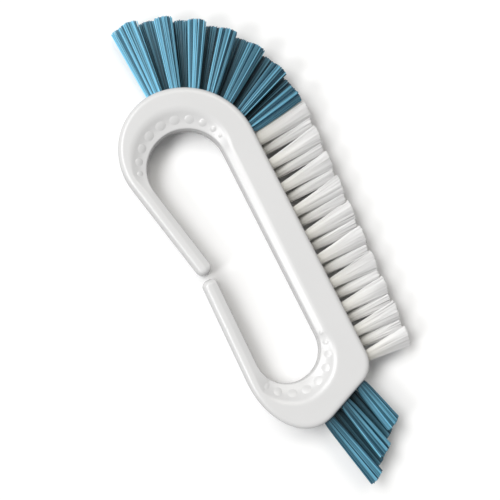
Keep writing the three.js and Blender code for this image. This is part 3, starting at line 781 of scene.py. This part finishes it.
class Graph:
    """A node tree that is filled by one method."""

    def __init__(self, owner):
        owner.use_nodes = True
        self.tree = owner.node_tree
        self.tree.nodes.clear()

    def node(self, kind, settings=None, sockets=None, output=0):
        """Adds a node, sets its settings, then its sockets' values or links, and gives one output."""
        made = self.tree.nodes.new(kind)
        for key, value in (settings or {}).items():
            setattr(made, key, value)
        for key, value in (sockets or {}).items():
            if isinstance(value, Value):
                self.tree.links.new(value.socket, made.inputs[key])
            else:
                made.inputs[key].default_value = value
        return Value(self, made.outputs[output]) if made.outputs else None

    def place(self):
        """The point's own place on the piece."""
        return self.node("ShaderNodeTexCoord", output="Object")

    def attribute(self, name, output="Fac"):
        """What the piece's points keep under a name."""
        return self.node("ShaderNodeAttribute", {"attribute_name": name}, output=output)

    def noise(self, place, scale, detail):
        """A smooth random field, features about one over the scale apart."""
        sockets = {"Vector": place, "Scale": scale, "Detail": detail}
        return self.node("ShaderNodeTexNoise", sockets=sockets)

    def blend(self, share, first, last):
        """A colour between two."""
        return self.node("ShaderNodeMix", {"data_type": "RGBA"}, {0: share, 6: first, 7: last}, 2)

    def step(self, value, low, high):
        """A smooth rise from zero at a low value to one at a high one."""
        span = {"Value": value, "From Min": low, "From Max": high, "To Min": 0.0, "To Max": 1.0}
        return self.node("ShaderNodeMapRange", {"interpolation_type": "SMOOTHSTEP"}, span)

    def either(self, first, second):
        """The larger of two values."""
        return self.node("ShaderNodeMath", {"operation": "MAXIMUM"}, {0: first, 1: second})

    def seen(self, mirrored):
        """One where the camera or a clear piece looks, a given share in a reflection, zero for the light
        that a surface gathers."""
        camera, glossy, clear = [self.node("ShaderNodeLightPath", output=name)
                                 for name in ("Is Camera Ray", "Is Glossy Ray", "Is Transmission Ray")]
        return self.either(self.either(camera, mirrored * glossy), clear)

    def bundle_normal(self, share):
        """The surface normal, turned by a share towards the way that the whole tuft faces."""
        own = self.node("ShaderNodeNewGeometry", output="Normal")
        whole = self.attribute("facing", "Vector")
        turned = self.node("ShaderNodeMix", {"data_type": "VECTOR"}, {0: share, 4: own, 5: whole}, 1)
        return self.node("ShaderNodeVectorMath", {"operation": "NORMALIZE"}, {0: turned})

    def bump(self, height, strength, distance):
        """A surface normal tipped by a height field."""
        sockets = {"Height": height, "Strength": strength, "Distance": distance}
        return self.node("ShaderNodeBump", sockets=sockets)


def colour(red, green, blue):
    """A linear colour."""
    return (red, green, blue, 1.0)


def grey(level):
    """A linear grey."""
    return colour(level, level, level)


def material(name, surface):
    """A material whose surface is the shader that a function makes in its graph."""
    made = bpy.data.materials.new(name)
    graph = Graph(made)
    graph.node("ShaderNodeOutputMaterial", sockets={"Surface": surface(graph)})
    return made


def handle_plastic(graph):
    """Satin white moulded polypropylene: faint flow marks in the tone, a fine grain in gloss and bump."""
    place = graph.place()
    flow = graph.noise(place, scale=55.0, detail=3.0)
    grain = graph.noise(place, scale=2600.0, detail=2.0)
    return graph.node("ShaderNodeBsdfPrincipled", sockets={
        "Base Color": graph.blend(flow, grey(0.64), grey(0.69)),
        "Roughness": 0.21 + 0.08 * grain,
        "Normal": graph.bump(grain, strength=0.12, distance=0.04 * METRES),
        "Specular IOR Level": 0.5,
    })


def blue_nylon(graph):
    """Coarse blue nylon: each filament its own depth of blue under painted streaks of light and shade,
    with painted shade at the roots and on lower-row tufts behind another, there less so towards the tips."""
    tone, reach, under, shade = [graph.attribute(name) for name in ("tone", "reach", "under", "shade")]
    # Along the strips the tone paints streaks of light and shade into the blue.
    body = graph.blend(tone ** 1.5, colour(0.002, 0.045, 0.08), colour(0.29, 0.75, 1.0))
    # Painted shade: roots darkened by their shade attribute, and lower-row tufts behind another painted
    # near black, less so towards the tips.
    shaded = graph.blend(shade, body, colour(0.004, 0.035, 0.055))
    deep = graph.blend(tone, colour(0.008, 0.018, 0.022), colour(0.035, 0.1, 0.135))
    lower_row_painted_shade = under * (0.9 - 0.35 * reach ** 2.0)
    return graph.node("ShaderNodeBsdfPrincipled", sockets={
        "Base Color": graph.blend(lower_row_painted_shade, shaded, deep),
        "Roughness": 0.26 + 0.12 * tone,
        "Specular IOR Level": 0.3,
        "Normal": graph.bundle_normal(0.35),
    })


def white_nylon(graph):
    """Fine white nylon that lets a little light through: each filament slightly different, warmer and
    greyer towards the rim, with painted shade near black deep down between the roots of the tufts."""
    tone, reach = [graph.attribute(name) for name in ("tone", "reach")]
    # Painted shade: near black low down and near the roots, where the tufts shade each other.
    height = graph.node("ShaderNodeSeparateXYZ", sockets={0: graph.place()}, output="Z")
    above_roots = graph.step(height, *[METRES * level for level in PAINTED_SHADE_HEIGHTS])
    free_of_painted_shade = graph.either(above_roots, graph.step(reach, *PAINTED_SHADE_SHARES))
    body = graph.blend(tone, grey(0.81), grey(0.89))
    near_rim = 0.9 * (1 - reach) ** 2.0
    rooted = graph.blend(near_rim, body, colour(0.74, 0.72, 0.65))
    surface = graph.node("ShaderNodeBsdfPrincipled", sockets={
        "Base Color": graph.blend(free_of_painted_shade, grey(0.02), rooted),
        "Roughness": 0.4 + 0.1 * tone,
        "Normal": graph.bundle_normal(0.8),
    })
    through = graph.node("ShaderNodeBsdfTranslucent", sockets={"Color": colour(0.95, 0.95, 0.94)})
    return graph.node("ShaderNodeMixShader", sockets={0: 0.05 * free_of_painted_shade, 1: surface, 2: through})


def anchor_metal(graph):
    """Drawn flat brass wire: fine lengthwise lines in gloss and bump, with dull patches."""
    place = graph.place()
    lines = graph.node("ShaderNodeMapping", sockets={"Vector": place, "Scale": (9000.0, 9000.0, 300.0)})
    drawn = graph.noise(lines, scale=1.0, detail=2.0)
    dull = graph.noise(place, scale=700.0, detail=3.0)
    return graph.node("ShaderNodeBsdfPrincipled", sockets={
        "Base Color": graph.blend(dull, colour(0.75, 0.60, 0.30), colour(0.58, 0.45, 0.22)),
        "Metallic": 1.0,
        "Roughness": 0.25 + 0.2 * drawn,
        "Normal": graph.bump(drawn, strength=0.2, distance=0.02 * METRES),
    })


def floor_white(graph):
    """Matt paint: white where it is seen, duller as a source of light."""
    dull = graph.node("ShaderNodeBsdfDiffuse", sockets={"Color": grey(0.7)})
    white = graph.node("ShaderNodeBsdfDiffuse", sockets={"Color": grey(0.97)})
    return graph.node("ShaderNodeMixShader", sockets={0: graph.seen(0.0), 1: dull, 2: white})


# The object's pieces

def handle_moulding(fields):
    """The handle: the loop, with the grip dots joined to it and every field's holes cut out of it."""
    made = closed_tubes("handle_moulding", loop_rings())
    dots = closed_tubes("grip_dots", dot_rings())
    holes = closed_tubes("tuft_holes", np.concatenate([hole_rings(tufts) for tufts in fields]))
    carve(made, [("UNION", dots), ("DIFFERENCE", holes)])
    made.data.set_sharp_from_angle(angle=math.radians(SHARP_ANGLE))
    return made


def finish(piece, made_of, node):
    """Gives a piece its material and its body, and hides the solid that it stands for."""
    piece.data.materials.clear()
    piece.data.materials.append(made_of)
    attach(piece, "root")
    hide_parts(node)


fan, side, end = fan_tufts(), side_tufts(), end_tufts()

handle = handle_moulding([fan, side, end])
finish(handle, material("handle_plastic", handle_plastic), "handle")

blue = material("blue_filament", blue_nylon)
finish(filaments("fan_filaments", fan, FAN_NYLON), blue, "fan_bristles")
finish(filaments("end_filaments", end, END_NYLON), blue, "end_bristles")
white = material("white_filament", white_nylon)
finish(filaments("side_filaments", side, SIDE_NYLON), white, "side_bristles")

brass = material("anchor_metal", anchor_metal)
for node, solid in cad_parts.items():
    if "anchor" in node:
        solid.material_slots[0].material = brass


# Floor, light and camera
FLOOR_SIDE = 3000.0
FLOOR_DROP = 0.02
ROOM_LIGHT = 0.2
WHITE_LIGHT = (1.0, 1.0, 1.0)
WARM_LIGHT = (1.0, 0.97, 0.91)

# The view: the place looked at, the place under the camera, the bearing of the picture's top, and how
# high the camera is above the upper face and how wide it sees there
VIEW_MIDDLE = np.array([-12.07, 7.35])
VIEW_FOOT = np.array([-44.9, -6.57])
VIEW_UP_ANGLE = 63.11
VIEW_HEIGHT = 420.0
VIEW_WIDTH = 150.07


def floor():
    """A wide square just under the brush."""
    half = FLOOR_SIDE / 2
    corners = np.array([[-half, -half], [half, -half], [half, half], [-half, half]])
    points = np.column_stack([corners, np.full(4, -FLOOR_DROP)]) * METRES
    mesh = bpy.data.meshes.new("floor")
    mesh.from_pydata(points.tolist(), [], [[0, 1, 2, 3]])
    mesh.materials.append(material("floor_white", floor_white))
    made = bpy.data.objects.new("floor", mesh)
    bpy.context.scene.collection.objects.link(made)


def sun(name, towards, energy, spread, tint):
    """A distant lamp that shines from a direction, its disc spread over some degrees."""
    lamp = bpy.data.lights.new(name, "SUN")
    lamp.energy = energy
    lamp.angle = math.radians(spread)
    lamp.color = tint
    made = bpy.data.objects.new(name, lamp)
    made.rotation_euler = Vector(towards).to_track_quat("Z", "Y").to_euler()
    bpy.context.scene.collection.objects.link(made)


def surroundings():
    """An even pale room: white where the camera, a reflection or a clear piece sees it, dim as light."""
    world = bpy.data.worlds.new("room")
    bpy.context.scene.world = world
    graph = Graph(world)
    strength = ROOM_LIGHT + (1 - ROOM_LIGHT) * graph.seen(1.0)
    glow = graph.node("ShaderNodeBackground", sockets={"Color": grey(1.0), "Strength": strength})
    graph.node("ShaderNodeOutputWorld", sockets={"Surface": glow})


def camera():
    """A camera above the left of the brush that looks at the middle of its upper face, turned as the
    photograph is, as wide as the photograph at that distance."""
    eye = np.array([*VIEW_FOOT, THICKNESS + VIEW_HEIGHT])
    back = eye - [*VIEW_MIDDLE, THICKNESS]
    distance = np.linalg.norm(back)
    back = unit(back)
    right = unit(np.cross([*directions(VIEW_UP_ANGLE), 0], back))
    lens = bpy.data.cameras.new("camera")
    lens.sensor_fit = "HORIZONTAL"
    lens.angle = 2 * math.atan(VIEW_WIDTH / 2 / distance)
    made = bpy.data.objects.new("camera", lens)
    made.location = eye * METRES
    made.rotation_euler = Matrix([right, np.cross(back, right), back]).transposed().to_euler()
    bpy.context.scene.collection.objects.link(made)
    bpy.context.scene.camera = made


floor()
surroundings()
sun("key", towards=(-0.37, 0.25, 0.895), energy=1.2, spread=24.0, tint=WHITE_LIGHT)
sun("side", towards=(-0.18, 0.52, 0.835), energy=0.85, spread=26.0, tint=WHITE_LIGHT)
sun("edge", towards=(-0.68, 0.0, 0.733), energy=0.75, spread=16.0, tint=WHITE_LIGHT)
sun("warm_fill", towards=(0.36, 0.36, 0.861), energy=0.62, spread=30.0, tint=WARM_LIGHT)
camera()
bpy.context.scene.view_settings.view_transform = "Standard"
